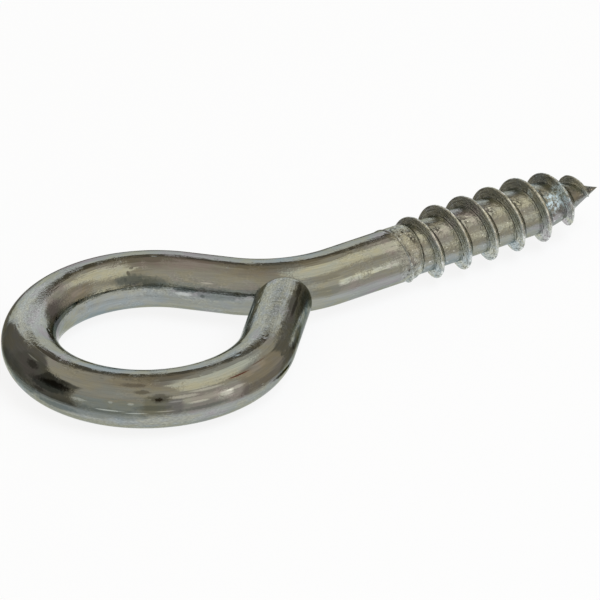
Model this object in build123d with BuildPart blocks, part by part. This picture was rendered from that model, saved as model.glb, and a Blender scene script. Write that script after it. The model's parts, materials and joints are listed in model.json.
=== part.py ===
"""A screw eye: one length of steel wire, rolled into an eye at one end and threaded at the other.

The origin is the centre of the eye. The eye lies flat in the XY plane, its hole runs along Z, and
the shank runs along +X to the point, on a line through the eye's centre. The wire leaves the eye
through a neck that bends it onto that line, and the eye's free end comes round to stop just short
of the neck.
"""

import os
from math import acos, atan2, ceil, cos, degrees, hypot, radians, sin, tan

from build123d import *

# Driving dimensions, in millimetres and degrees.

wire_diameter = 6.3
eye_inner_diameter = 19.8

neck_straight = 5.5             # from the round of the eye to the neck's bend
neck_bend_radius = 14.2         # to the middle of the wire

free_end_angle = 42.7           # where the free end leaves the round, below the +X axis
free_end_cut_angle = 22.0       # of the cut from square, with its outer side left longer
free_end_lip_angle = 10.0       # of the cut from upright, with its top left longer
free_end_gap = 0.25             # clearance between the cut and the neck
free_end_bevel = 0.55           # taken off the cut's edge

shank_length = 6.7              # plain wire, from the neck's bend to the thread's first rise
thread_diameter = 8.0
core_diameter = 5.8
thread_pitch = 3.6
thread_length = 28.8            # from the ridge's first rise to the tip
thread_start_angle = 13.0       # where the ridge first rises, about the shank from +Y
climb_length = 6.2              # over which the ridge climbs to its full height
step_start = 2.8                # plain wire runs on this far under the ridge's first turn
step_length = 0.6               # over which the wire steps down to the thread's core

point_angle = 43.0              # of the whole cone at the tip
lead_in_length = 1.5            # of the shallower taper, to each side of the cone's shoulder
fading_length = 1.7             # over which the ridge fades out towards the tip
bare_tip_length = 1.5           # the last of the point, which has no ridge

crest_width = 0.25
upper_flank_angle = 12.0        # of the flank that faces the eye, from square to the shank
lower_flank_angle = 36.0        # of the flank that faces the tip

# Worked out from them.

wire_radius = wire_diameter / 2
eye_radius = eye_inner_diameter / 2 + wire_radius
core_radius = core_diameter / 2
ridge_height = thread_diameter / 2 - core_radius

# The ridge's foot is set into the core, and its two ends are buried, to these shares of the radius.
foot_depth = 0.90
buried = 0.95
stations_per_turn = 12


def heading(angle):
    """The unit vector in the XY plane that points this many degrees round from +X."""
    return Vector(cos(radians(angle)), sin(radians(angle)))


def neck_angle():
    """The angle between neck and shank that lines the shank up with the eye's centre."""
    to_bend_centre = hypot(eye_radius + neck_bend_radius, neck_straight)
    lean = atan2(neck_straight, eye_radius + neck_bend_radius)
    return degrees(acos(neck_bend_radius / to_bend_centre) - lean)


# The middle of the wire: round the eye, out through the neck and along the plain shank.

with BuildLine() as wire_line:
    eye = CenterArc((0, 0), eye_radius, 90 - neck_angle(), 270 - free_end_angle + neck_angle())
    neck = PolarLine(eye @ 0, neck_straight, -neck_angle())
    bend = JernArc(neck @ 1, neck % 1, neck_bend_radius, neck_angle())
    shank = PolarLine(bend @ 1, shank_length, 0)

# The free end runs straight on from the eye, to a cut that faces the outside of the neck's bend.

bend_centre = bend @ 1 + Vector(0, neck_bend_radius)
cut_facing = heading(90 - free_end_angle + free_end_cut_angle)
cut_to_bend_centre = neck_bend_radius + wire_radius + free_end_gap
run_to_cut = (bend_centre - eye @ 1).dot(cut_facing) - cut_to_bend_centre
free_end_length = run_to_cut / cos(radians(free_end_cut_angle))
cut_dip = Vector(0, 0, -tan(radians(free_end_lip_angle)))
cut_plane = Plane(origin=eye @ 1 + eye % 1 * free_end_length, z_dir=cut_facing + cut_dip)

thread_start = shank @ 1
tip = thread_start + Vector(thread_length, 0)
shoulder = tip + Vector(-core_radius / tan(radians(point_angle / 2)), core_radius)
lead_in_start = shoulder - Vector(lead_in_length)
lead_in_end = shoulder + heading(-point_angle / 2) * lead_in_length


def share(x, start, length):
    """How far x has come along a stretch, from 0 at its start to 1 at its end."""
    return min(max((x - start) / length, 0), 1)


def core_radius_at(x):
    """The core's radius at x: straight, then the shallower taper, then the cone."""
    lead_in = share(x, lead_in_start.X, lead_in_end.X - lead_in_start.X)
    cone = share(x, lead_in_end.X, tip.X - lead_in_end.X)
    return core_radius * (1 - lead_in) + lead_in_end.Y * (lead_in - cone)


def ridge_height_at(x):
    """The ridge's height over the core at x, where it climbs out of the wire or fades away."""
    climb = share(x, thread_start.X, climb_length)
    fade = share(x, tip.X - bare_tip_length - fading_length, fading_length)
    start = wire_radius * buried - core_radius
    end = core_radius_at(x) * (buried - 1)
    return (start * (1 - climb) + ridge_height * climb) * (1 - fade) + end * fade


def ridge_profile(x):
    """The corners of the ridge's section at x: distance along the shank from x, and radius."""
    height = ridge_height_at(x)
    rise = height + core_radius_at(x) * (1 - foot_depth)
    upper_crest = -crest_width / 2
    lower_crest = crest_width / 2
    upper_foot = upper_crest - rise * tan(radians(upper_flank_angle))
    lower_foot = lower_crest + rise * tan(radians(lower_flank_angle))
    return [
        (upper_foot, core_radius_at(x + upper_foot) * foot_depth),
        (upper_crest, core_radius_at(x + upper_crest) + height),
        (lower_crest, core_radius_at(x + lower_crest) + height),
        (lower_foot, core_radius_at(x + lower_foot) * foot_depth),
    ]


def ridge_plane(x):
    """The plane through the shank's axis that cuts the ridge at x, turning with the right-hand helix."""
    angle = radians(thread_start_angle + 360 * (x - thread_start.X) / thread_pitch)
    return Plane(origin=(x, thread_start.Y, 0), x_dir=(1, 0, 0), z_dir=(0, -sin(angle), cos(angle)))


# The thread's ridge, in lofts of one turn or a little less, end to end.

ridge_length = thread_length - bare_tip_length
ridge_turns = ceil(ridge_length / thread_pitch)

with BuildPart() as ridge:
    for turn in range(ridge_turns):
        for station in range(stations_per_turn + 1):
            along = (turn + station / stations_per_turn) / ridge_turns
            place = thread_start.X + along * ridge_length
            with BuildSketch(ridge_plane(place)):
                with BuildLine():
                    Polyline(*ridge_profile(place), close=True)
                make_face()
        loft()

with BuildPart() as screw_eye:

    # The free end, cut off at its slant and bevelled there.
    with BuildSketch(Plane(origin=eye @ 1, z_dir=eye % 1)):
        Circle(wire_radius)
    extrude(amount=free_end_length + wire_diameter)
    split(bisect_by=cut_plane, keep=Keep.BOTTOM)
    chamfer(faces().sort_by_distance(cut_plane.origin)[0].edges(), free_end_bevel)

    # The rest of the wire.
    with BuildSketch(Plane(origin=eye @ 1, z_dir=eye % 1)):
        Circle(wire_radius)
    sweep(path=wire_line.wires()[0])

    # The thread's core: the wire steps down to it, and it tapers in two steps to the point.
    with BuildSketch():
        with BuildLine():
            Polyline(
                thread_start,
                thread_start + Vector(0, wire_radius),
                thread_start + Vector(step_start, wire_radius),
                thread_start + Vector(step_start + step_length, core_radius),
                lead_in_start,
                lead_in_end,
                tip,
                close=True,
            )
        make_face()
    revolve(axis=Axis(thread_start, (1, 0, 0)))

    add(ridge.part)

screw_eye.part.label = "screw_eye"
os.makedirs("parts", exist_ok=True)
export_step(screw_eye.part, "parts/screw_eye.step")
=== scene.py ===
"""Dresses the screw eye: steel wire bent into an eye, with a rolled thread, zinc plated, on a pale table."""

import json
import logging
import math
from dataclasses import dataclass
from enum import Enum
from typing import Any

import bpy
import numpy as np
from mathutils import Matrix, Vector


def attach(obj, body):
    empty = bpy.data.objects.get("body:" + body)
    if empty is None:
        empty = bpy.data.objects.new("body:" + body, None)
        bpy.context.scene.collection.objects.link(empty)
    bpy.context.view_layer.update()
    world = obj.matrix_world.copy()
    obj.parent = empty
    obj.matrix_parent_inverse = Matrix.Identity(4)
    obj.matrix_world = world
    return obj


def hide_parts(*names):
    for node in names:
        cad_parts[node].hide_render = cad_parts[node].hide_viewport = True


MM = 0.001
PIECE = "screw_eye_wire"
NODE = "screw_eye"
STRAIGHTENED = "straightened"
RISE = "rise"
THREADED = "threaded"
DIE_BITE = "die_bite"

Array = np.ndarray
Socket = bpy.types.NodeSocket

LOG = logging.getLogger("screw_eye")

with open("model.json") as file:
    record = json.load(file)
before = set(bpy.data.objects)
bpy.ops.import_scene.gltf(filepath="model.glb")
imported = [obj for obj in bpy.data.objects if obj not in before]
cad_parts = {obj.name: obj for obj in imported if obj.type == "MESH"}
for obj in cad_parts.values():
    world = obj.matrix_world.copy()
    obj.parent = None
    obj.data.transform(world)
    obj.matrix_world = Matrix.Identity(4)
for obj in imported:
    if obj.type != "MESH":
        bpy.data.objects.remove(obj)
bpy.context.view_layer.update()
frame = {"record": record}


def linear(colour: str) -> tuple[float, float, float, float]:
    """Turns a colour as it is seen into the linear one that shaders take.

    Args:
        colour: sRGB hex digits, such as "#A9ADA9".

    Returns:
        Linear red, green, blue and an alpha of 1.
    """
    parts = [int(colour[i : i + 2], 16) / 255 for i in (1, 3, 5)]
    red, green, blue = (c / 12.92 if c <= 0.04045 else ((c + 0.055) / 1.055) ** 2.4 for c in parts)
    return red, green, blue, 1.0


def placed(name: str, data: bpy.types.ID) -> bpy.types.Object:
    """Puts a new object in the scene.

    Args:
        name: Its name.
        data: Its mesh, light or camera.

    Returns:
        The object.
    """
    made = bpy.data.objects.new(name, data)
    bpy.context.scene.collection.objects.link(made)
    return made


@dataclass(frozen=True)
class Grain:
    """The grain of a noise.

    Attributes:
        size: Its size in mm.
        length: Its length along the wire in mm, or 0 where it is as long as wide.
        detail: How many finer octaves are added.
        roughness: How strong they are.
    """

    size: float
    length: float = 0.0
    detail: float = 2.0
    roughness: float = 0.5


@dataclass
class Nodes:
    """Adds nodes to one tree, mostly giving back the socket that each ends in.

    Attributes:
        tree: The node tree that takes them.
        place: Where patterns are laid out, such as a point on the straightened wire in mm.
    """

    tree: bpy.types.NodeTree
    place: Socket | None = None

    @classmethod
    def of(cls, owner: bpy.types.Material | bpy.types.World) -> "Nodes":
        """Clears the nodes of a new material or world.

        Args:
            owner: The material or world.

        Returns:
            Its nodes.
        """
        owner.use_nodes = True
        owner.node_tree.nodes.clear()
        return cls(owner.node_tree)

    def add(self, kind: str, inputs: dict[Any, Any] | None = None, **settings: Any) -> bpy.types.Node:
        """Adds one node with its settings and links.

        Args:
            kind: The node's type without its leading "ShaderNode".
            inputs: Socket name or index to a value, a socket, or a node whose first output is linked.
            **settings: Properties of the node, such as operation.

        Returns:
            The new node.
        """
        made = self.tree.nodes.new("ShaderNode" + kind)
        for name, value in settings.items():
            setattr(made, name, value)
        for socket, value in (inputs or {}).items():
            if isinstance(value, bpy.types.Node):
                value = value.outputs[0]
            if isinstance(value, Socket):
                self.tree.links.new(value, made.inputs[socket])
            else:
                made.inputs[socket].default_value = value
        return made

    def math(self, operation: str, *values: Any, **settings: Any) -> Socket:
        """One value worked out from others."""
        return self.add("Math", dict(enumerate(values)), operation=operation, **settings).outputs[0]

    def vector(self, operation: str, *values: Any) -> Socket:
        """One vector worked out from others."""
        return self.add("VectorMath", dict(enumerate(values)), operation=operation).outputs[0]

    def measure(self, operation: str, *values: Any) -> Socket:
        """One value worked out from vectors."""
        return self.add("VectorMath", dict(enumerate(values)), operation=operation).outputs["Value"]

    def scaled(self, vector: Socket, factor: Any) -> Socket:
        """A vector or colour times a factor."""
        return self.add("VectorMath", {0: vector, "Scale": factor}, operation="SCALE").outputs[0]

    def product(self, first: Socket, *others: Socket) -> Socket:
        """Several values multiplied.

        Args:
            first: The first of them.
            *others: The others, in order.

        Returns:
            The product.
        """
        for other in others:
            first = self.math("MULTIPLY", first, other)
        return first

    def raised(self, height: Any, what: Any, by: Any) -> Socket:
        """A height, or any value, raised by some share of another."""
        return self.math("MULTIPLY_ADD", what, by, height)

    def ramp(
        self, value: Any, low: float, high: float, first: float = 0.0, last: float = 1.0, **settings: Any
    ) -> Socket:
        """Goes from a first value to a last one as another goes from low to high."""
        return self.add("MapRange", {0: value, 1: low, 2: high, 3: first, 4: last}, **settings).outputs[0]

    def fade(self, value: Any, low: float, high: float, first: float = 0.0, last: float = 1.0) -> Socket:
        """Goes the same way, but smoothly at both ends."""
        return self.ramp(value, low, high, first, last, interpolation_type="SMOOTHSTEP")

    def kept(self, name: str, output: str = "Fac") -> Socket:
        """What is kept at the mesh's vertices under a name."""
        return self.add("Attribute", attribute_name=name, attribute_type="GEOMETRY").outputs[output]

    def noise(self, grain: Grain) -> Socket:
        """Noise of a given grain, drawn out along the wire where it has a length.

        Args:
            grain: The grain.

        Returns:
            The noise, around 0.5.
        """
        place = self.place
        if grain.length:
            place = self.vector("MULTIPLY", place, (grain.size / grain.length, 1.0, 1.0))
        inputs = {"Vector": place, "Scale": 1 / grain.size}
        inputs |= {"Detail": grain.detail, "Roughness": grain.roughness}
        return self.add("TexNoise", inputs).outputs[0]

    def coloured(self, value: Socket, stops: tuple[tuple[float, str], ...]) -> Socket:
        """A colour that goes from stop to stop with a value.

        Args:
            value: The value.
            stops: For each stop, the value there and the colour as sRGB hex.

        Returns:
            The colour.
        """
        made = self.add("ValToRGB", {0: value})
        elements = made.color_ramp.elements
        for end in (0, -1):
            elements[end].position = stops[end][0]
            elements[end].color = linear(stops[end][1])
        for position, colour in stops[1:-1]:
            elements.new(position).color = linear(colour)
        return made.outputs[0]

    def painted(self, colour: Socket, inside: Socket, patch: str) -> Socket:
        """The colour so far with another over it."""
        inputs = {0: inside, 6: colour, 7: linear(patch)}
        return self.add("Mix", inputs, data_type="RGBA", clamp_factor=True).outputs[2]

    def speckled(
        self,
        colour: Socket,
        noise: Socket,
        low: float,
        high: float,
        first: float,
        last: float,
        where: Socket | float = 1.0,
    ) -> Socket:
        """Makes a colour darker or lighter with a noise.

        Args:
            colour: The colour so far.
            noise: The noise.
            low: The noise's value at which the first factor holds.
            high: Its value at which the last factor holds.
            first: The colour's factor at the low value.
            last: The colour's factor at the high value.
            where: How far it shows at each point, from 0 to 1.

        Returns:
            The speckled colour.
        """
        factor = self.ramp(noise, low, high, first, last)
        factor = self.add("Mix", {0: where, 2: 1.0, 3: factor}, data_type="FLOAT")
        return self.scaled(colour, factor)


def smooth_min(a: Array, b: Array, reach: float) -> Array:
    """The lower of two heights, with the edge between them rounded over a reach."""
    near = np.clip(reach - np.abs(a - b), 0, None) / reach
    return np.minimum(a, b) - near**2 * reach / 4


def smooth_max(a: Array, b: Array, reach: float) -> Array:
    """The higher of two heights, with the corner between them filled over a reach."""
    return -smooth_min(-a, -b, reach)


def share(x: Array, start: float, length: float) -> Array:
    """How far x has come along a stretch, from 0 at its start to 1 at its end."""
    return np.clip((x - start) / length, 0, 1)


class MarkKind(Enum):
    """The kinds of mark that tools, handling and plating left on the wire; some stains, films and bright
    streaks are also painted shade, reflections and highlights.
    """

    DENT = "a soft hollow"
    GRIP = "fine lines across the wire, from the jaws that held it"
    # Besides real dirt, this kind paints shade: the dark inside of a dent on the eye, and a shadow line along
    # the free end's light top.
    STAIN_AND_SHADE = "a dark patch where dirt or bare steel shows"
    # Besides a real film, this kind paints a reflection: the dark blue band beside the glint on the free
    # end's flank.
    FILM_AND_REFLECTION = "a thin blue-grey film, darker than the plate"
    RUST = "a scratch gone brown"
    # Besides streaks worn bright, this kind paints highlights and glints where the plate caught the light.
    RUB_AND_GLINT = "a bright rubbed streak"
    SALT = "a pale bloom of zinc salts"
    MATT = "a patch where the plate is matt and speckled"


@dataclass(frozen=True)
class Mark:
    """One mark on the wire.

    Attributes:
        kind: What the mark looks like.
        run: Distance of its middle along the wire from the free end, in mm.
        angle: Where it is round the wire, in degrees from the outside of the eye towards the top.
        along: Its half length along the wire, in mm.
        across: Its half width round the wire, in mm.
        depth: How deep a dent or grip line goes in mm, or how strong a patch is from 0 to 1.
    """

    kind: MarkKind
    run: float
    angle: float
    along: float
    across: float
    depth: float

    def place(self, radius: float) -> tuple[float, float, float]:
        """Its middle on the straightened wire, in mm."""
        turned = math.radians(self.angle)
        return self.run, radius * math.cos(turned), radius * math.sin(turned)


@dataclass
class ScrewEye:
    """The whole screw eye, one length of wire: cut end, eye, neck, shank, thread and gimlet point.

    Sizes are in millimetres and degrees. Distances called run go along the wire from the middle of its cut
    end.
    """

    wire_diameter: float
    eye_inner_diameter: float
    thread_start: float
    thread_diameter: float
    thread_length: float
    free_end_length: float = 9.728
    free_end_angle: float = 42.7
    free_end_cut_angle: float = 22.0
    free_end_lip_angle: float = 10.0
    free_end_round: float = 0.7
    neck_straight: float = 5.5
    neck_bend_radius: float = 14.2
    core_diameter: float = 5.8
    thread_pitch: float = 3.6
    thread_turn_angle: float = 13.0
    climb_length: float = 6.2
    step_start: float = 2.8
    step_length: float = 0.6
    point_angle: float = 43.0
    lead_in_length: float = 1.5
    fading_length: float = 1.7
    bare_tip_length: float = 1.5
    crest_width: float = 0.25
    upper_flank_angle: float = 12.0
    lower_flank_angle: float = 36.0
    edge_round: float = 0.14
    root_round: float = 0.5
    die_bite_place: float = 1.4
    die_bite_angle: float = 121.0
    die_bite_length: float = 0.5
    die_bite_width: float = 0.22
    skin_onset: float = 3.0
    rise_onset: float = 1.0
    least_rise: float = 0.3
    row_lead: float = 0.9
    buried: float = 0.95
    columns: int = 128
    row_spacing: float = 0.4
    marks: tuple[Mark, ...] = ()

    @classmethod
    def from_record(cls, record: dict[str, Any], marks: tuple[Mark, ...]) -> "ScrewEye":
        """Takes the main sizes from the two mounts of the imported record.

        Args:
            record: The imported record.
            marks: The marks on the wire.

        Returns:
            The screw eye in those sizes.
        """
        mounts = {mount["name"]: mount for mount in record["mounts"]}
        return cls(
            wire_diameter=mounts["eye"]["dims"]["length_mm"],
            eye_inner_diameter=2 * mounts["eye"]["dims"]["r_mm"],
            thread_start=mounts["thread"]["pos_m"][0] / MM,
            thread_diameter=2 * mounts["thread"]["dims"]["r_mm"],
            thread_length=mounts["thread"]["dims"]["length_mm"],
            marks=marks,
        )

    @property
    def wire_radius(self) -> float:
        """Half the wire's diameter."""
        return self.wire_diameter / 2

    @property
    def core_radius(self) -> float:
        """Half the thread core's diameter."""
        return self.core_diameter / 2

    @property
    def eye_radius(self) -> float:
        """Radius of the eye at the middle of the wire."""
        return (self.eye_inner_diameter + self.wire_diameter) / 2

    @property
    def neck_angle(self) -> float:
        """The angle in radians between neck and shank that lines the shank up with the eye's middle."""
        reach = self.eye_radius + self.neck_bend_radius
        lean = math.atan2(self.neck_straight, reach)
        return math.acos(self.neck_bend_radius / math.hypot(reach, self.neck_straight)) - lean

    @property
    def tip(self) -> float:
        """Where the point ends, along X."""
        return self.thread_start + self.thread_length

    @property
    def thread_run(self) -> float:
        """The run at which the thread starts."""
        return sum(length for _, _, length in self.stretches()[:-1]) + self.shank_length

    @property
    def shank_length(self) -> float:
        """Length of the plain shank between the neck's bend and the thread."""
        corner = (self.eye_radius * math.sin(self.neck_angle), self.eye_radius * math.cos(self.neck_angle))
        bend_end = corner[0] + self.neck_straight * math.cos(self.neck_angle)
        return self.thread_start - bend_end - self.neck_bend_radius * math.sin(self.neck_angle)

    def stretches(self) -> list[tuple[float, float, float]]:
        """The runs and arcs of the wire's middle, in order from the cut end.

        Returns:
            For each, its heading at the start in radians, its turn in radians and its length.
        """
        start = math.radians(270 - self.free_end_angle)
        round_eye = 1.5 * math.pi - math.radians(self.free_end_angle) + self.neck_angle
        return [
            (start, 0.0, self.free_end_length),
            (start, -round_eye, self.eye_radius * round_eye),
            (-self.neck_angle, 0.0, self.neck_straight),
            (-self.neck_angle, self.neck_angle, self.neck_bend_radius * self.neck_angle),
            (0.0, 0.0, 1000.0),
        ]

    def middle(self, run: Array) -> tuple[Array, Array]:
        """The middle of the wire.

        Args:
            run: Distances along the wire.

        Returns:
            The points, and the wire's heading at each in radians.
        """
        angle = math.radians(self.free_end_angle)
        corner = self.eye_radius * np.array([math.cos(-angle), math.sin(-angle)])
        heading = self.stretches()[0][0]
        place = corner - self.free_end_length * np.array([math.cos(heading), math.sin(heading)])
        points = np.zeros((len(run), 2))
        headings = np.zeros(len(run))
        done = 0.0
        for start, turn, length in self.stretches():
            into = np.append(run - done, length)
            now = start + turn * into / length
            if turn:
                move = [np.sin(now) - math.sin(start), math.cos(start) - np.cos(now)]
                move = length / turn * np.stack(move, -1)
            else:
                move = into[:, None] * np.array([math.cos(start), math.sin(start)])
            here = into[:-1] >= 0 if done else slice(None)
            points[here] = (place + move)[:-1][here]
            headings[here] = now[:-1][here]
            place = place + move[-1]
            done += length
        return points, headings

    def surface(self, run: Array, angle: Array, radius: Array) -> Array:
        """Points round the wire.

        Args:
            run: Distances along the wire.
            angle: Angles round it in radians, from the side that faces out of the eye towards the top.
            radius: Distances from its middle.

        Returns:
            Points in millimetres.
        """
        middle, heading = self.middle(run)
        out = radius * np.cos(angle)
        x = middle[..., 0] - out * np.sin(heading)
        y = middle[..., 1] + out * np.cos(heading)
        return np.stack([x, y, radius * np.sin(angle)], -1)

    def core_at(self, x: Array) -> Array:
        """The core's radius at x: straight, a shallower taper round the shoulder, then the point's cone."""
        half = math.radians(self.point_angle / 2)
        shoulder = self.tip - self.core_radius / math.tan(half)
        cone_start = shoulder + self.lead_in_length * math.cos(half)
        cone_radius = self.core_radius - self.lead_in_length * math.sin(half)
        places = [shoulder - self.lead_in_length, cone_start, self.tip]
        return np.interp(x, places, [self.core_radius, cone_radius, 0])

    def ridge_height_at(self, x: Array) -> Array:
        """The ridge's height over the core at x, where it climbs out of the wire or fades away."""
        climb = share(x, self.thread_start, self.climb_length)
        fade = share(x, self.tip - self.bare_tip_length - self.fading_length, self.fading_length)
        start = self.wire_radius * self.buried - self.core_radius
        full = (self.thread_diameter - self.core_diameter) / 2
        end = self.core_at(x) * (self.buried - 1)
        return (start * (1 - climb) + full * climb) * (1 - fade) + end * fade

    def thread_radius(self, x: Array, angle: Array) -> Array:
        """Radius of the shank's surface, with its step down to the core and the ridge that winds round it.

        Args:
            x: Places along the shank.
            angle: Angles round it in radians.

        Returns:
            The radius at each.
        """
        step = share(x, self.thread_start + self.step_start, self.step_length)
        base = self.wire_radius * (1 - step) + self.core_at(x) * step
        turned = np.mod(angle - math.radians(self.thread_turn_angle), 2 * math.pi) / (2 * math.pi)
        half_crest = self.crest_width / 2
        ridge_end = self.tip - self.bare_tip_length
        for turn in range(math.ceil(self.thread_length / self.thread_pitch)):
            middle = self.thread_start + self.thread_pitch * (turned + turn)
            off = x - middle
            height = self.ridge_height_at(middle)
            crest = self.core_at(middle + np.clip(off, -half_crest, half_crest)) + height
            upper = crest + (off + half_crest) / math.tan(math.radians(self.upper_flank_angle))
            lower = crest - (off - half_crest) / math.tan(math.radians(self.lower_flank_angle))
            ridge = smooth_min(smooth_min(upper, lower, self.edge_round), crest, self.edge_round)
            near = (middle <= ridge_end) & (np.abs(off) < self.thread_pitch)
            root = np.where(off < 0, self.root_round, self.edge_round)
            base = np.where(near, smooth_max(base, np.where(near, ridge, 0), root), base)
        return base

    def pressed(self, run: Array, angle: Array) -> Array:
        """How deep the marks go at each place on the wire.

        Args:
            run: Distances along the wire.
            angle: Angles round it in radians.

        Returns:
            Depths in millimetres.
        """
        depth = np.zeros(np.broadcast(run, angle).shape)
        for mark in self.marks:
            if mark.kind is not MarkKind.DENT:
                continue
            along = (run - mark.run) / mark.along
            turned = angle - math.radians(mark.angle)
            across = self.wire_radius * (np.mod(turned + math.pi, 2 * math.pi) - math.pi) / mark.across
            depth = depth + mark.depth * np.exp(-(along**2) - across**2)
        return depth

    def on_wire(self, run: Array, angle: Array) -> Array:
        """Points on the plain wire, with the marks pressed into it."""
        return self.surface(run, angle, self.wire_radius - self.pressed(run, angle))

    def cut_face(self) -> tuple[Array, float]:
        """The free end's cut: the direction it faces, and the wire's heading there in radians."""
        heading = math.radians(270 - self.free_end_angle)
        facing = math.radians(90 - self.free_end_angle + self.free_end_cut_angle)
        dip = -math.tan(math.radians(self.free_end_lip_angle))
        normal = np.array([math.cos(facing), math.sin(facing), dip])
        return normal / np.linalg.norm(normal), heading

    def free_end_rows(self, angles: Array) -> list[tuple[Array, Array]]:
        """Rows of points from the middle of the cut face out over its rounded rim to the start of the eye.

        Args:
            angles: The angle of each column, in radians.

        Returns:
            For each row, its points and its runs.
        """
        normal, heading = self.cut_face()
        along = np.array([math.cos(heading), math.sin(heading), 0])
        side = np.array([-math.sin(heading), math.cos(heading), 0])
        round_wire = np.cos(angles)[:, None] * side + np.sin(angles)[:, None] * np.array([0, 0, 1.0])
        centre = self.surface(np.zeros(1), np.zeros(1), np.zeros(1))[0]
        rim_run = -self.wire_radius * (round_wire @ normal) / (along @ normal)
        rim = centre + self.wire_radius * round_wire + rim_run[:, None] * along
        inward = centre - rim
        inward /= np.linalg.norm(inward, axis=1)[:, None]
        corner = np.arccos(inward @ along)
        reach = self.free_end_round / np.tan(corner / 2)
        on_wall = rim + reach[:, None] * along
        on_face = rim + reach[:, None] * inward
        rows = []
        for part in np.linspace(0.04, 1, 14):
            points = centre + (on_face - centre) * part
            rows.append((points, (points - centre) @ along))
        weight = np.sin(corner / 2)[:, None]
        for t in np.linspace(0, 1, 9)[1:]:
            mixed = on_face * (1 - t) ** 2 + 2 * weight * t * (1 - t) * rim + on_wall * t**2
            points = mixed / ((1 - t) ** 2 + 2 * weight * t * (1 - t) + t**2)
            rows.append((points, (points - centre) @ along))
        wall_run = rim_run + reach
        count = math.ceil(self.free_end_length / self.row_spacing)
        for part in np.linspace(0, 1, count + 1)[1:]:
            run = wall_run + (self.free_end_length - wall_run) * part
            rows.append((self.on_wire(run, angles), run))
        return rows

    def profile_steps(self) -> Array:
        """Distances across one pitch at which the thread's rows lie, close together at the ridge's edges."""
        rise = (self.thread_diameter - self.core_diameter) / 2
        upper = -self.crest_width / 2 - rise * math.tan(math.radians(self.upper_flank_angle))
        lower = self.crest_width / 2 + rise * math.tan(math.radians(self.lower_flank_angle))
        half = self.crest_width / 2
        edges = [
            np.linspace(-self.row_lead, upper - 0.14, 4),
            np.linspace(upper - 0.08, upper + 0.06, 5),
            np.linspace(upper + 0.09, -half - 0.03, 4),
            np.linspace(-half, half, 5),
            np.linspace(half + 0.04, lower - 0.08, 7),
            np.linspace(lower - 0.03, lower + 0.06, 3),
            np.linspace(lower + 0.15, self.thread_pitch - self.row_lead, 10)[:-1],
        ]
        return np.concatenate(edges) + self.row_lead

    def mesh(self) -> tuple[Array, list[tuple[int, ...]], dict[str, Array]]:
        """Builds the skin of the whole wire, with rows that wind with the thread where it is threaded.

        Returns:
            The vertices in millimetres, the faces, and the values kept at each vertex.
        """
        count = self.columns
        angles = math.radians(self.thread_turn_angle) + np.arange(count) * 2 * math.pi / count
        full = np.append(angles, angles[0] + 2 * math.pi)
        part = np.arange(count + 1) / count
        zero = np.zeros(1)
        kept: list[tuple[Array, Array, Array]] = []
        faces: list[tuple[int, ...]] = []
        total = 0

        def keep(where: Array, run: Array, turn: Array) -> Array:
            """Keeps new vertices and returns their numbers."""
            nonlocal total
            kept.append((where, np.broadcast_to(run, turn.shape), turn))
            total += len(turn)
            return np.arange(total - len(turn), total)

        def shank(x: Array, turn: Array) -> Array:
            """Keeps vertices on the shank and thread."""
            run = x - self.thread_start + self.thread_run
            radius = self.thread_radius(x, turn) - self.pressed(run, turn)
            return keep(self.surface(run, turn, radius), run, turn)

        def strung(start: int, x: Array, stop: int) -> Array:
            """A row on the thread between two of the vertices where rows start."""
            return np.concatenate([[starts[start]], shank(x[1:-1], full[1:-1]), [starts[stop]]])

        def grow(above: Array) -> None:
            """Fills up to the next row, which is closed where it is a ring, leaving out what has no width."""
            nonlocal row
            if len(above) == count:
                above = np.append(above, above[0])
            for corners in zip(row[:-1], row[1:], above[1:], above[:-1]):
                corners = tuple(dict.fromkeys(int(corner) for corner in corners))
                if len(corners) > 2:
                    faces.append(corners)
            row = above

        end_rows = self.free_end_rows(angles)
        row = np.full(count + 1, keep(self.surface(zero, zero, zero), zero, zero)[0])
        for where, run in end_rows:
            grow(keep(where, run, angles))
        first = self.thread_start - self.row_lead
        wire_end = self.thread_run - self.row_lead
        steps = math.ceil((wire_end - self.free_end_length) / self.row_spacing)
        for run in np.linspace(self.free_end_length, wire_end, steps + 1)[1:]:
            run = np.full(count, run)
            grow(keep(self.on_wire(run, angles), run, angles))

        # The thread's rows run a whole turn and end one pitch further on, where the next turn's row begins.
        levels = self.profile_steps()
        across = len(levels)
        pitch = self.thread_pitch
        turns_of_rows = math.ceil(self.thread_length / pitch) - 1
        level = np.concatenate([levels + pitch * turn for turn in range(turns_of_rows + 1)])
        level = np.append(level, level[0] + pitch * (turns_of_rows + 1))
        last = across * turns_of_rows
        end = last + across
        starts = [row[0]]
        starts += [shank(np.array([first + level[number]]), full[:1])[0] for number in range(1, end + 1)]
        for number in range(1, across):
            grow(strung(0, first + level[number] * part, number))
        for number in range(last + 1):
            grow(strung(number, first + level[number] + pitch * part, number + across))
        base = first + level[last] + pitch * part
        for number in range(last + 1, end + 1):
            grow(strung(number, base + (level[number] - level[last]) * (1 - part), end))
        row = np.append(row[:-1], row[0])
        for x in np.linspace(first + level[end], self.tip, 7)[1:-1]:
            grow(shank(np.full(count, x), angles))
        run = np.array([self.thread_run + self.thread_length])
        grow(np.full(count + 1, keep(self.surface(run, zero, zero), run, zero)[0]))

        where, run, turn = (np.concatenate(values) for values in zip(*kept))
        return where, faces, self.values(where, run, turn)

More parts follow.
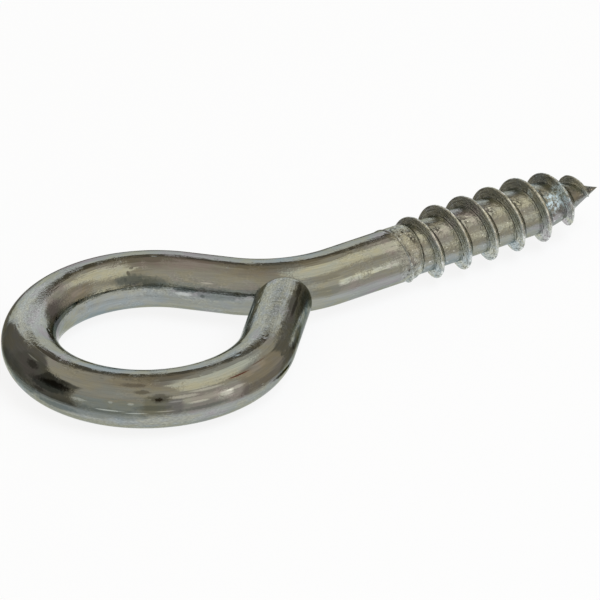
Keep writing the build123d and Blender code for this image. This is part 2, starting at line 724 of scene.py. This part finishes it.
    def values(self, where: Array, run: Array, turn: Array) -> dict[str, Array]:
        """What the finish needs to know at each vertex.

        Args:
            where: The vertices in millimetres.
            run: Their distances along the wire.
            turn: Their angles round it in radians.

        Returns:
            By name, the point on the straightened wire, how far up the ridge it is, how far the thread has
            begun, and how deep the die bit the core.
        """
        x = run - self.thread_run + self.thread_start
        radius = np.hypot(where[:, 1], where[:, 2])
        threaded = share(x, self.thread_start, self.skin_onset)
        ridge = self.ridge_height_at(x).clip(self.least_rise)
        rise = np.where(x > self.thread_start, (radius - self.core_at(x)) / ridge, 0)
        flat = np.where(x > self.thread_start, radius, self.wire_radius)
        turned = np.mod(turn - math.radians(self.thread_turn_angle), 2 * math.pi) / (2 * math.pi)
        past_crest = x - self.thread_start - self.thread_pitch * turned + self.row_lead
        past_crest = np.mod(past_crest, self.thread_pitch) - self.row_lead
        along = (past_crest - self.die_bite_place) / self.die_bite_length
        across = (turn - math.radians(self.die_bite_angle)) / self.die_bite_width
        return {
            STRAIGHTENED: np.stack([run, flat * np.cos(turn), flat * np.sin(turn)], -1),
            RISE: rise * share(x, self.thread_start, self.rise_onset),
            THREADED: threaded,
            DIE_BITE: np.exp(-(along**2) - across**2) * threaded,
        }

    def build(self) -> bpy.types.Object:
        """Makes the Blender object of the skin and puts it in the frame.

        Returns:
            The object.
        """
        where, faces, values = self.mesh()
        mesh = bpy.data.meshes.new(PIECE)
        mesh.from_pydata((where * MM).tolist(), [], faces)
        for name, data in values.items():
            kind = "FLOAT_VECTOR" if data.ndim == 2 else "FLOAT"
            layer = mesh.attributes.new(name, kind, "POINT")
            layer.data.foreach_set("vector" if data.ndim == 2 else "value", data.astype(np.float32).ravel())
        mesh.polygons.foreach_set("use_smooth", [True] * len(mesh.polygons))
        mesh.update()
        piece = placed(PIECE, mesh)
        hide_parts(NODE)
        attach(piece, "root")
        LOG.info("%s: %d vertices, %d faces", PIECE, len(where), len(faces))
        return piece


@dataclass(frozen=True)
class BrightZincPlate:
    """Bright electroplated zinc on drawn steel wire, passivated clear.

    To the eye it is a slightly dull mirror: the room shows in it with soft edges, and faint yellow, lilac and
    blue clouds come from the passivation. Lines along the wire are from drawing, and it is lightly pitted and
    worn. Some marks also paint light and shade: highlights along the crests and in bright streaks, shade in
    some stains and a dark reflection in a blue-grey patch. Depths and spacings are in mm.
    """

    wire_radius: float
    marks: tuple[Mark, ...]
    plate: str = "#9CA09D"
    yellow: str = "#A0A196"
    lilac: str = "#9F9C9E"
    blue: str = "#979FA1"
    # A dark colour for stains, also used for painted shade in some of them, and for the darkening at the
    # thread's roots, bites and torn flanks.
    dirt_and_shade: str = "#37332B"
    # Blue-grey, also used for a painted dark reflection beside a glint.
    film_and_reflection: str = "#5F6969"
    rust: str = "#6B3A2C"
    # Bright zinc for worn streaks, and also the colour of painted highlights: crest lines, glints and bright
    # streaks.
    rub_and_glint: str = "#E8ECEA"
    salt: str = "#CFE2EA"
    edge: float = 1.7
    smooth: float = 0.06
    dull: float = 0.14
    flank_dull: float = 0.16
    # How much lighter the thread's flanks are painted: a painted sheen that stands in for the light they
    # reflect.
    flank_sheen: float = 1.55
    cloud: Grain = Grain(5.0, 10.0, 5.0, 0.68)
    haze: Grain = Grain(3.2, 0.0, 7.0, 0.68)
    line: Grain = Grain(0.6, 5.5)
    line_depth: float = 0.036
    scratch: Grain = Grain(0.13, 2.6, 3.0)
    scratch_depth: float = 0.003
    wave: Grain = Grain(3.4, 7.48)
    wave_depth: float = 0.08
    grain: Grain = Grain(0.20, 0.0, 3.0)
    bright_grain_depth: float = 0.001
    matt_grain_depth: float = 0.020
    speck: Grain = Grain(0.17, 0.272, 1.0)
    nick_spacing_mm: float = 1.5
    nick_depth: float = -0.02
    pit_spacing_mm: float = 2.9
    pit_depth: float = -0.03
    tear: Grain = Grain(0.42, 0.0, 4.0, 0.6)
    tear_depth: float = 0.055
    start_tear_depth: float = 0.5
    torn: Grain = Grain(0.9, 0.0, 4.0, 0.62)
    torn_depth: float = 0.15
    bite: Grain = Grain(0.36)
    bite_depth: float = -0.08
    glint: Grain = Grain(0.30, 0.5, 3.0)
    crest_wear: Grain = Grain(0.7, 0.0, 4.0, 0.7)
    jaws: Grain = Grain(1.76, 0.22)
    fleck: Grain = Grain(0.45, 0.0, 5.0, 0.7)
    salt_depth: float = 0.10
    stain_depth: float = -0.02
    edge_grain: float = 1.6
    grip_ragged: float = 0.6
    patch_ragged: float = 0.9
    matt_ragged: float = 1.2

    def material(self) -> bpy.types.Material:
        """Builds the plate's material.

        Returns:
            The material.
        """
        made = bpy.data.materials.new("bright_zinc_plate")
        on = Nodes.of(made)
        on.place = on.kept(STRAIGHTENED, "Vector")
        matt = self.matt(on)
        grain = on.noise(self.grain)
        scratches = on.noise(self.scratch)
        relief = self.relief(on, matt, grain, scratches)
        height, darkened, bright, flank = self.thread_skin(on, relief)
        specks = on.noise(self.speck)
        # The flanks are painted lighter, a painted sheen.
        colour = on.speckled(self.clouds(on), flank, 0.0, 1.0, 1.0, self.flank_sheen)
        colour = on.speckled(colour, scratches, 0.3, 0.7, 0.92, 1.08)
        colour = on.speckled(colour, specks, 0.36, 0.46, 0.90, 1.04, matt)
        colour = on.speckled(colour, specks, 0.57, 0.66, 1.0, 1.18, matt)
        # Darker at the thread's roots, bites, rags and torn flanks; then painted highlights on the crests and
        # glints, with scraped wear, in bright zinc.
        colour = on.painted(colour, darkened, self.dirt_and_shade)
        colour = on.painted(colour, bright, self.rub_and_glint)
        salted: Socket | None = None
        # The patches: real stains, films, rust, wear and salts, and also painted shade, highlights and
        # reflections where the marks table puts them.
        for mark in self.marks:
            patch = self.patch_colour(mark.kind)
            if patch is None:
                continue
            inside = self.inside(on, mark, self.patch_ragged)
            inside = on.math("MULTIPLY", inside, mark.depth, use_clamp=True)
            if mark.kind is MarkKind.SALT:
                flecks = on.fade(on.noise(self.fleck), 0.42, 0.60)
                inside = on.math("MULTIPLY", inside, flecks, use_clamp=True)
                salted = inside if salted is None else on.math("MAXIMUM", salted, inside)
            colour = on.painted(colour, inside, patch)
        roughness = on.ramp(matt, 0.0, 1.0, self.smooth, self.dull)
        inputs = {
            "Base Color": colour,
            "Metallic": on.math("SUBTRACT", 1.0, salted or 0.0),
            "Roughness": on.raised(roughness, flank, self.flank_dull),
            "Specular Tint": on.vector("MINIMUM", on.scaled(colour, self.edge), (1.0, 1.0, 1.0)),
            "Normal": on.add("Bump", {"Height": height, "Distance": MM, "Strength": 1.0}),
        }
        on.add("OutputMaterial", {"Surface": on.add("BsdfPrincipled", inputs)})
        return made

    def matt(self, on: Nodes) -> Socket:
        """How matt the plate is: in clouds of its own, and in the patches that say so.

        Args:
            on: The material's nodes.

        Returns:
            A socket that is 0 where the plate is bright and 1 where it is matt.
        """
        made = on.fade(on.noise(self.haze), 0.47, 0.66)
        for mark in self.marks:
            if mark.kind is MarkKind.MATT:
                inside = on.math("MULTIPLY", self.inside(on, mark, self.matt_ragged), mark.depth)
                made = on.math("MAXIMUM", made, inside)
        return made

    def patch_colour(self, kind: MarkKind) -> str | None:
        """The colour of a kind of mark, or nothing where it is relief alone."""
        return {
            MarkKind.STAIN_AND_SHADE: self.dirt_and_shade,
            MarkKind.FILM_AND_REFLECTION: self.film_and_reflection,
            MarkKind.RUST: self.rust,
            MarkKind.RUB_AND_GLINT: self.rub_and_glint,
            MarkKind.SALT: self.salt,
        }.get(kind)

    def clouds(self, on: Nodes) -> Socket:
        """The plate's colour, with the passivation's faint clouds.

        Args:
            on: The material's nodes.

        Returns:
            The colour.
        """
        cloud = on.noise(self.cloud)
        places = (0.36, 0.45, 0.51, 0.58, 0.66)
        colours = (self.lilac, self.plate, self.yellow, self.plate, self.blue)
        return on.coloured(cloud, tuple(zip(places, colours)))

    def inside(self, on: Nodes, mark: Mark, ragged: float) -> Socket:
        """How far a point is inside a mark, whose edge is broken up.

        Args:
            on: The material's nodes.
            mark: The mark.
            ragged: How far the edge wanders, as a share of the mark's size.

        Returns:
            A socket that is 1 in the middle of the mark and 0 outside.
        """
        away = on.vector("SUBTRACT", on.place, mark.place(self.wire_radius))
        away = on.vector("MULTIPLY", away, (1 / mark.along, 1 / mark.across, 1 / mark.across))
        wander = on.noise(Grain(mark.across / self.edge_grain, 0.0, 3.0))
        away = on.raised(on.measure("LENGTH", away), wander, ragged)
        return on.fade(away, 0.5 + ragged / 2, 1.0 + ragged / 2, 1.0, 0.0)

    def relief(self, on: Nodes, matt: Socket, grain: Socket, scratches: Socket) -> Socket:
        """The fine relief of the wire: drawing lines, scratches, grain, nicks, pits and tool marks.

        Args:
            on: The material's nodes.
            matt: Where the plate is matt, and its grain coarser.
            grain: The grain itself.
            scratches: Fine scratches along the wire.

        Returns:
            The height in mm.
        """
        height = on.raised(0.0, on.noise(self.line), self.line_depth)
        height = on.raised(height, on.noise(self.wave), self.wave_depth)
        height = on.raised(height, scratches, self.scratch_depth)
        grain_depth = on.ramp(matt, 0.0, 1.0, self.bright_grain_depth, self.matt_grain_depth)
        height = on.raised(height, grain, grain_depth)
        for spacing, stretch, near, far, depth in (
            (self.nick_spacing_mm, 0.35, 0.04, 0.16, self.nick_depth),
            (self.pit_spacing_mm, 1.0, 0.025, 0.05, self.pit_depth),
        ):
            place = on.vector("MULTIPLY", on.place, (stretch, 1.0, 1.0))
            cells = on.add("TexVoronoi", {"Vector": place, "Scale": 1 / spacing, "Randomness": 1.0})
            height = on.raised(height, on.fade(cells, near, far, 1.0, 0.0), depth)
        for mark in self.marks:
            if mark.kind is MarkKind.GRIP:
                jaws = on.noise(self.jaws)
                depth = on.math("MULTIPLY", self.inside(on, mark, self.grip_ragged), mark.depth)
                height = on.raised(height, jaws, depth)
            elif mark.kind in (MarkKind.STAIN_AND_SHADE, MarkKind.RUST, MarkKind.SALT):
                rough = on.math("MULTIPLY", self.inside(on, mark, self.patch_ragged), grain)
                depth = self.salt_depth if mark.kind is MarkKind.SALT else self.stain_depth
                height = on.raised(height, rough, depth)
        return height

    def thread_skin(self, on: Nodes, height: Socket) -> tuple[Socket, Socket, Socket, Socket]:
        """What the die left on the thread, torn flanks and bites in the core, with darker roots and painted
        crest highlights.

        Args:
            on: The material's nodes.
            height: The wire's own relief in mm.

        Returns:
            The height in mm, how far a point is darkened, how bright it is with wear and painted highlights,
            and how far it is on a flank.
        """
        rise, threaded, bite = (on.kept(name) for name in (RISE, THREADED, DIE_BITE))
        tears = on.noise(self.tear)
        parts = on.add("SeparateXYZ", {0: on.place}).outputs
        layers = on.add("CombineXYZ", {0: on.math("MULTIPLY", rise, 6.0), 1: parts[1], 2: parts[2]})
        torn = Nodes(on.tree, layers.outputs[0]).noise(self.torn)
        flank = on.product(on.fade(rise, 0.0, 0.08), threaded)
        start = on.product(threaded, on.math("SUBTRACT", 1.0, threaded))
        bitten = on.product(on.fade(on.noise(self.bite), 0.47, 0.55), bite)
        height = on.raised(height, on.product(torn, flank), self.torn_depth)
        height = on.raised(height, on.product(tears, threaded), self.tear_depth)
        height = on.raised(height, on.product(tears, start), self.start_tear_depth)
        height = on.raised(height, bitten, self.bite_depth)

        # Darker at the ridge's roots, in the bites, in rags at the thread's start and on torn flanks.
        fillet = on.product(on.fade(rise, 0.0, 0.06), on.fade(rise, 0.42, 0.05))
        root = on.product(fillet, on.fade(tears, 0.40, 0.62))
        rags = on.product(on.fade(tears, 0.56, 0.66), start)
        darkened = on.raised(bitten, root, 0.08)
        darkened = on.raised(darkened, rags, 3.0)
        darkened = on.raised(darkened, on.product(on.fade(torn, 0.50, 0.64), flank), 0.42)

        # Painted highlights: broken bright lines along the crests and scattered glints on the thread. Scraped
        # flanks are wear; the torn lip at the start is partly wear and partly a painted highlight.
        broken = on.fade(on.noise(self.crest_wear), 0.49, 0.59)
        crest = on.product(on.fade(rise, 0.86, 0.97), broken)
        glints = on.fade(on.noise(self.glint), 0.66, 0.72)
        lip = on.product(on.fade(tears, 0.42, 0.34), start)
        scraped = on.product(on.fade(torn, 0.41, 0.33), flank, on.fade(tears, 0.42, 0.56))
        bright = on.math("MAXIMUM", crest, on.product(glints, threaded))
        bright = on.raised(bright, scraped, 0.55)
        bright = on.raised(bright, lip, 2.6)
        return height, darkened, bright, flank


@dataclass(frozen=True)
class Panel:
    """A part of the studio room that shows in the plate, given by where it stands as seen from the object.

    Attributes:
        name: What it is.
        colour: Its brightness and colour as sRGB hex.
        azimuth: The middle of it, in degrees from +X towards +Y.
        width: Half its width in degrees.
        low: Elevation of its lower edge in degrees.
        high: Elevation of its upper edge in degrees.
        soft: How many degrees its edges take to fade.
        strength: How much brighter it is than its colour as written.
    """

    name: str
    colour: str
    azimuth: float
    width: float
    low: float
    high: float
    soft: float
    strength: float = 1.0


@dataclass(frozen=True)
class Studio:
    """The pale table, the white backdrop behind it, the room's panels round it, the lamp and the camera.

    Lengths are in metres and angles in degrees.
    """

    table_size: float = 3.0
    table: str = "#F8F9FA"
    lift: float = 0.86
    card_edge: tuple[float, float] = (0.0045, 0.0085)
    walls: tuple[tuple[float, str], ...] = (
        (0.0, "#C4BCAE"),
        (0.5, "#D2C9BA"),
        (0.75, "#CDC2B0"),
        (1.0, "#B9A998"),
    )
    panels: tuple[Panel, ...] = (
        Panel("left wall", "#BABCB6", -154, 26, -91, 15, 6),
        Panel("overhead light", "#FFF6DE", -40, 52, 46, 80, 8, 1.15),
        Panel("dark overhead corner", "#A39683", 58, 17, 38, 80, 8),
        Panel("rail over the backdrop", "#6F685B", 57, 26, 34, 49, 3),
        Panel("strip by the camera", "#ADA7A2", -104, 8, -91, 22, 4),
        Panel("shade under the bright wall", "#CBC6BA", -80, 18, -91, -3, 5),
        Panel("bright wall", "#F0E7D5", -80, 18, -3, 19, 5),
        Panel("end of the bright wall", "#DAD2C4", -56, 8, -91, 34, 4),
        Panel("window", "#FFFBEA", -64, 4.5, -8, 9, 3, 1.5),
        Panel("brown wall", "#BEB09E", -27, 23, -7, 40, 6),
        Panel("shade under the brown wall", "#A3988E", -27, 23, -91, -7, 6),
        Panel("warm beam", "#D6C4B2", -31, 13, 19, 32, 4),
        Panel("dark corner", "#857F75", 11, 16, -91, 27, 5),
        Panel("camera", "#AEA999", -119, 8, -91, 33, 4),
        Panel("dark wall", "#827C75", 102, 16, -91, 44, 4),
        Panel("darker wall", "#747067", 147, 31, -91, 40, 6),
        Panel("door", "#4B4841", 153, 15, 8, 36, 5),
        Panel("shade under the backdrop", "#8F8A81", 57, 31, -91, -5, 4),
    )
    backdrop: Panel = Panel("white backdrop", "#FFFFFF", 58, 30, -5, 34, 2.5)
    lamp_power: float = 4.3
    lamp_colour: str = "#DDEBFF"
    lamp_size: float = 0.7
    lamp_distance: float = 0.9
    lamp_turns: tuple[float, float] = (-60, 62)
    lamp_target: tuple[float, float, float] = (0.02, 0, 0)
    camera_turns: tuple[float, float] = (-122.129, 29.777)
    camera_roll: float = -1.308
    camera_distance: float = 0.76618
    camera_target: tuple[float, float, float] = (0.016998, 0.000082, 0.0)
    camera_shift: tuple[float, float] = (0.0323, -0.0111)
    camera_clip: tuple[float, float] = (0.01, 20.0)
    lens_mm: float = 418.09
    sensor_mm: float = 36.0

    def table_plane(self, eye: ScrewEye) -> bpy.types.Object:
        """Lays the table under the eye's far side and the thread's first full crest, as the part rests.

        Args:
            eye: The screw eye.

        Returns:
            The table.
        """
        crest_x = eye.thread_start + eye.climb_length
        slope = (eye.thread_diameter / 2 - eye.wire_radius) / (crest_x + eye.eye_radius)
        half = self.table_size / 2
        corners = [(-half, -half, 0), (half, -half, 0), (half, half, 0), (-half, half, 0)]
        mesh = bpy.data.meshes.new("table")
        mesh.from_pydata(corners, [], [(0, 1, 2, 3)])
        table = placed("table", mesh)
        table.rotation_euler = (0, math.atan(slope), 0)
        table.location = (0, 0, -(eye.wire_radius + slope * eye.eye_radius) * MM)
        mesh.materials.append(self.table_material(eye))
        return table

    def table_material(self, eye: ScrewEye) -> bpy.types.Material:
        """Matt white card that keeps the object's shadow and is lifted towards plain white where it is seen.

        Rays from the camera, through glass and off metal see it alike. Off metal it ends a few millimetres
        from the wire, as a small card does, and the room's lower part shows past it.

        Args:
            eye: The screw eye.

        Returns:
            The material.
        """
        made = bpy.data.materials.new("white_card")
        on = Nodes.of(made)
        rays = on.add("LightPath").outputs
        seen = on.math("MAXIMUM", rays["Is Camera Ray"], rays["Is Transmission Ray"])
        seen = on.math("MAXIMUM", seen, rays["Is Glossy Ray"])
        flat = on.vector("MULTIPLY", on.add("TexCoord").outputs["Object"], (1.0, 1.0, 0.0))
        from_eye = on.math("SUBTRACT", on.measure("LENGTH", flat), eye.eye_radius * MM)
        nearest = on.vector("MAXIMUM", flat, (0.0, -1.0, -1.0))
        nearest = on.vector("MINIMUM", nearest, (eye.tip * MM, 1.0, 1.0))
        nearest = on.vector("MULTIPLY", nearest, (1.0, 0.0, 0.0))
        from_shank = on.measure("DISTANCE", flat, nearest)
        away = on.math("MINIMUM", on.math("ABSOLUTE", from_eye), from_shank)
        off_card = on.math("MULTIPLY", on.fade(away, *self.card_edge), rays["Is Glossy Ray"])
        matt = on.add("BsdfDiffuse", {"Color": linear(self.table)})
        white = on.add("Emission", {"Color": (1.0, 1.0, 1.0, 1.0), "Strength": 1.0})
        card = on.add("MixShader", {0: on.math("MULTIPLY", seen, self.lift), 1: matt, 2: white})
        mixed = on.add("MixShader", {0: off_card, 1: card, 2: on.add("BsdfTransparent")})
        on.add("OutputMaterial", {"Surface": mixed})
        return made

    def room(self) -> None:
        """Builds the world: plain white, with the room's panels hung in it for the metal and for soft light.

        Rays from the camera and through glass see the plain white. Rays off metal and the world's soft light
        see it only in the white backdrop's directions, behind the object, and the room elsewhere.
        """
        world = bpy.data.worlds.new("studio_room")
        bpy.context.scene.world = world
        on = Nodes.of(world)
        direction = on.add("TexCoord").outputs["Generated"]
        upward = on.add("SeparateXYZ", {0: direction}).outputs[2]
        elevation = on.math("MULTIPLY", on.math("ARCSINE", upward), 180 / math.pi)
        level = on.vector("NORMALIZE", on.vector("MULTIPLY", direction, (1.0, 1.0, 0.0)))
        room = on.coloured(on.ramp(elevation, 0.0, 90.0), self.walls)
        for panel in self.panels:
            inside = self.within(on, panel, level, elevation)
            colour = (*(part * panel.strength for part in linear(panel.colour)[:3]), 1.0)
            room = on.add("Mix", {0: inside, 6: room, 7: colour}, data_type="RGBA").outputs[2]
        rays = on.add("LightPath").outputs
        off_object = on.math("MAXIMUM", rays["Is Glossy Ray"], rays["Is Diffuse Ray"])
        white = on.math("MULTIPLY", self.within(on, self.backdrop, level, elevation), off_object)
        white = on.math("MAXIMUM", white, rays["Is Camera Ray"])
        white = on.math("MAXIMUM", white, rays["Is Transmission Ray"])
        backdrop = linear(self.backdrop.colour)
        shown = on.add("Mix", {0: white, 6: room, 7: backdrop}, data_type="RGBA").outputs[2]
        background = on.add("Background", {"Color": shown, "Strength": 1.0})
        on.add("OutputWorld", {"Surface": background})

    def within(self, on: Nodes, panel: Panel, level: Socket, elevation: Socket) -> Socket:
        """How far a direction is inside a panel.

        Args:
            on: The world's nodes.
            panel: The panel.
            level: The direction's level part, of length 1.
            elevation: The direction's elevation in degrees.

        Returns:
            A socket that is 1 inside the panel and 0 outside.
        """
        angle = math.radians(panel.azimuth)
        facing = on.measure("DOT_PRODUCT", level, (math.cos(angle), math.sin(angle), 0.0))
        half = panel.soft / 2
        outer = math.cos(math.radians(panel.width + half))
        inner = math.cos(math.radians(max(panel.width - half, 0)))
        return on.product(
            on.fade(facing, outer, inner),
            on.fade(elevation, panel.low - half, panel.low + half),
            on.fade(elevation, panel.high + half, panel.high - half),
        )

    def towards(self, azimuth: float, elevation: float) -> Vector:
        """A direction.

        Args:
            azimuth: Its degrees from +X towards +Y.
            elevation: Its degrees above level.

        Returns:
            The direction, of length 1.
        """
        azimuth, elevation = math.radians(azimuth), math.radians(elevation)
        level = math.cos(elevation)
        return Vector((math.cos(azimuth) * level, math.sin(azimuth) * level, math.sin(elevation)))

    def lamp(self) -> None:
        """Hangs one large soft lamp over the table, on the side that the overhead light is on."""
        light = bpy.data.lights.new("soft_lamp", "AREA")
        light.shape = "DISK"
        light.size = self.lamp_size
        light.energy = self.lamp_power
        light.color = linear(self.lamp_colour)[:3]
        lamp = placed("soft_lamp", light)
        back = self.towards(*self.lamp_turns)
        lamp.location = Vector(self.lamp_target) + back * self.lamp_distance
        lamp.rotation_euler = back.to_track_quat("Z", "Y").to_euler()
        lamp.visible_glossy = False

    def camera(self) -> None:
        """Sets up the camera, which looks down at the eye's near left."""
        roll = math.radians(self.camera_roll)
        back = self.towards(*self.camera_turns)
        right = (-back).cross(Vector((0, 0, 1))).normalized()
        up = back.cross(right)
        turned_right = math.cos(roll) * right + math.sin(roll) * up
        turned_up = math.cos(roll) * up - math.sin(roll) * right
        data = bpy.data.cameras.new("camera")
        data.sensor_width = self.sensor_mm
        data.lens = self.lens_mm
        data.shift_x, data.shift_y = self.camera_shift
        data.clip_start, data.clip_end = self.camera_clip
        camera = placed("camera", data)
        turn = Matrix((turned_right, turned_up, back)).transposed().to_4x4()
        place = Vector(self.camera_target) + back * self.camera_distance
        camera.matrix_world = Matrix.Translation(place) @ turn
        bpy.context.scene.camera = camera


# The marks in the order they are painted in: for each kind in turn, rows of run, angle, along, across, depth.
MARKS = tuple(
    Mark(kind, *sizes)
    for kind, *rows in (
        (MarkKind.GRIP, (4.2, 84, 3.6, 1.9, 0.016)),
        (MarkKind.DENT, (40.6, 45, 1.5, 0.9, 0.20), (5.4, 146, 2.2, 0.5, 0.08)),
        # The free end's stains include a painted shadow line along the edge of its light top.
        (MarkKind.STAIN_AND_SHADE, (1.4, 50, 2.0, 0.36, 0.6), (3.6, 36, 2.6, 0.6, 0.2), (4.8, 47, 2.8, 0.24, 0.6)),
        (MarkKind.FILM_AND_REFLECTION, (4.6, -8, 7.0, 1.8, 0.5)),
        (MarkKind.STAIN_AND_SHADE, (8.6, 15, 3.4, 0.7, 0.5), (13.3, -8, 2.4, 0.34, 0.7)),
        (MarkKind.MATT, (4.0, 8, 5.0, 1.4, 0.9)),
        (MarkKind.STAIN_AND_SHADE, (1.2, 38, 1.8, 0.7, 0.25)),
        # The patch at run 6.2 and the bright streak at run 5.0 paint a reflection: a glint with a dark blue
        # band beside it on the free end's flank.
        (MarkKind.FILM_AND_REFLECTION, (1.8, 27, 3.0, 0.9, 0.45), (6.2, 151, 2.6, 0.35, 0.95)),
        (MarkKind.RUB_AND_GLINT, (5.0, 143, 1.5, 0.16, 1.0), (5.7, 27, 1.2, 0.10, 0.5)),
        (
            MarkKind.STAIN_AND_SHADE,
            (26.8, 31, 1.3, 0.6, 0.5), (26.9, 28, 0.5, 0.26, 1.0), (36.9, 29, 2.3, 0.5, 0.9),
            # Painted shade: the dark inside of the dent at run 40.6.
            (40.4, 44, 1.2, 0.5, 0.6),
        ),
        (MarkKind.FILM_AND_REFLECTION, (43.5, 12, 3.5, 1.2, 0.35), (37.6, 19, 2.6, 0.5, 0.75)),
        (MarkKind.STAIN_AND_SHADE, (29.2, 58, 1.6, 0.3, 0.4)),
        (MarkKind.FILM_AND_REFLECTION, (33.5, -6, 7.5, 0.9, 0.5), (27.5, 12, 2.2, 0.4, 0.45)),
        # Bright dashes along the eye's front, partly wear and partly painted highlights.
        (
            MarkKind.RUB_AND_GLINT,
            (31.4, 4, 1.5, 0.10, 0.9), (28.9, 1, 1.2, 0.09, 0.8), (26.4, 4, 1.0, 0.08, 0.8),
            (29.4, 20, 0.35, 0.18, 0.5), (31.2, 21, 0.3, 0.16, 0.4), (22.4, 36, 2.0, 0.16, 0.5),
            (34.2, 16, 0.9, 0.22, 0.45), (24.6, 30, 1.7, 0.22, 0.5), (23.4, 15, 1.3, 0.16, 0.45),
            (19.6, 22, 1.3, 0.22, 0.45), (25.4, 22, 0.8, 0.12, 0.5),
        ),
        (MarkKind.STAIN_AND_SHADE, (28.4, 44, 0.9, 0.3, 0.5)),
        # Painted highlight: the bright arc above the dent at run 40.6.
        (MarkKind.RUB_AND_GLINT, (40.9, 55, 1.1, 0.10, 1.0)),
        (MarkKind.FILM_AND_REFLECTION, (22.6, 2, 3.0, 0.3, 0.5), (36.5, -14, 3.0, 0.5, 0.6)),
        (
            MarkKind.STAIN_AND_SHADE,
            (38.6, 8, 1.0, 0.25, 0.5), (65.9, 137, 0.3, 0.4, 0.6), (66.4, 126, 0.35, 0.2, 0.5),
            (65.4, 149, 0.3, 0.3, 0.5),
        ),
        (MarkKind.FILM_AND_REFLECTION, (66.0, 150, 3.0, 0.8, 0.75), (69.6, 160, 2.6, 0.9, 0.7)),
        (MarkKind.RUB_AND_GLINT, (73.4, 178, 1.2, 0.28, 0.5)),
        (MarkKind.STAIN_AND_SHADE, (75.6, 178, 0.35, 0.25, 0.7)),
        (MarkKind.FILM_AND_REFLECTION, (77.3, 171, 3.4, 0.9, 0.5)),
        (MarkKind.RUB_AND_GLINT, (74.0, 140, 8.0, 1.7, 0.07)),
        (MarkKind.FILM_AND_REFLECTION, (73.6, 168, 1.8, 0.4, 0.8)),
        (MarkKind.RUB_AND_GLINT, (76.0, 150, 0.9, 0.12, 0.5)),
        (MarkKind.MATT, (5.0, 98, 8.5, 2.3, 1.0), (51.0, 92, 7.5, 2.5, 1.0), (42.0, -16, 6.0, 1.7, 1.0)),
        (MarkKind.FILM_AND_REFLECTION, (40.5, -4, 3.0, 0.7, 0.5)),
        (MarkKind.MATT, (16.0, 88, 4.5, 1.1, 0.9), (29.0, -24, 9.0, 1.6, 0.8), (74.0, 170, 10.0, 1.8, 1.0)),
        (MarkKind.FILM_AND_REFLECTION, (75.0, -172, 9.0, 1.3, 0.22)),
        # The broad faint streak at run 108 is a painted sheen on the thread's flanks that face the camera.
        (MarkKind.RUB_AND_GLINT, (50.0, 94, 6.5, 2.4, 0.11), (108.0, 132, 13.0, 2.4, 0.08)),
        (MarkKind.RUST, (18.9, 42, 1.6, 0.11, 0.9), (16.2, 47, 1.4, 0.06, 0.6)),
        (
            MarkKind.SALT,
            (117.8, 148, 1.8, 1.8, 1.0), (119.0, 140, 1.0, 2.2, 0.7), (115.8, 112, 1.3, 0.7, 0.6),
        ),
    )
    for sizes in rows
)


def main() -> None:
    """Builds the screw eye, dresses it and sets the scene round it."""
    logging.basicConfig(level=logging.INFO, format="%(name)s: %(message)s")
    eye = ScrewEye.from_record(frame["record"], MARKS)
    piece = eye.build()
    piece.data.materials.append(BrightZincPlate(eye.wire_radius, MARKS).material())
    studio = Studio()
    studio.table_plane(eye)
    studio.room()
    studio.lamp()
    studio.camera()
    bpy.context.scene.view_settings.view_transform = "Standard"


if __name__ == "__main__":
    main()
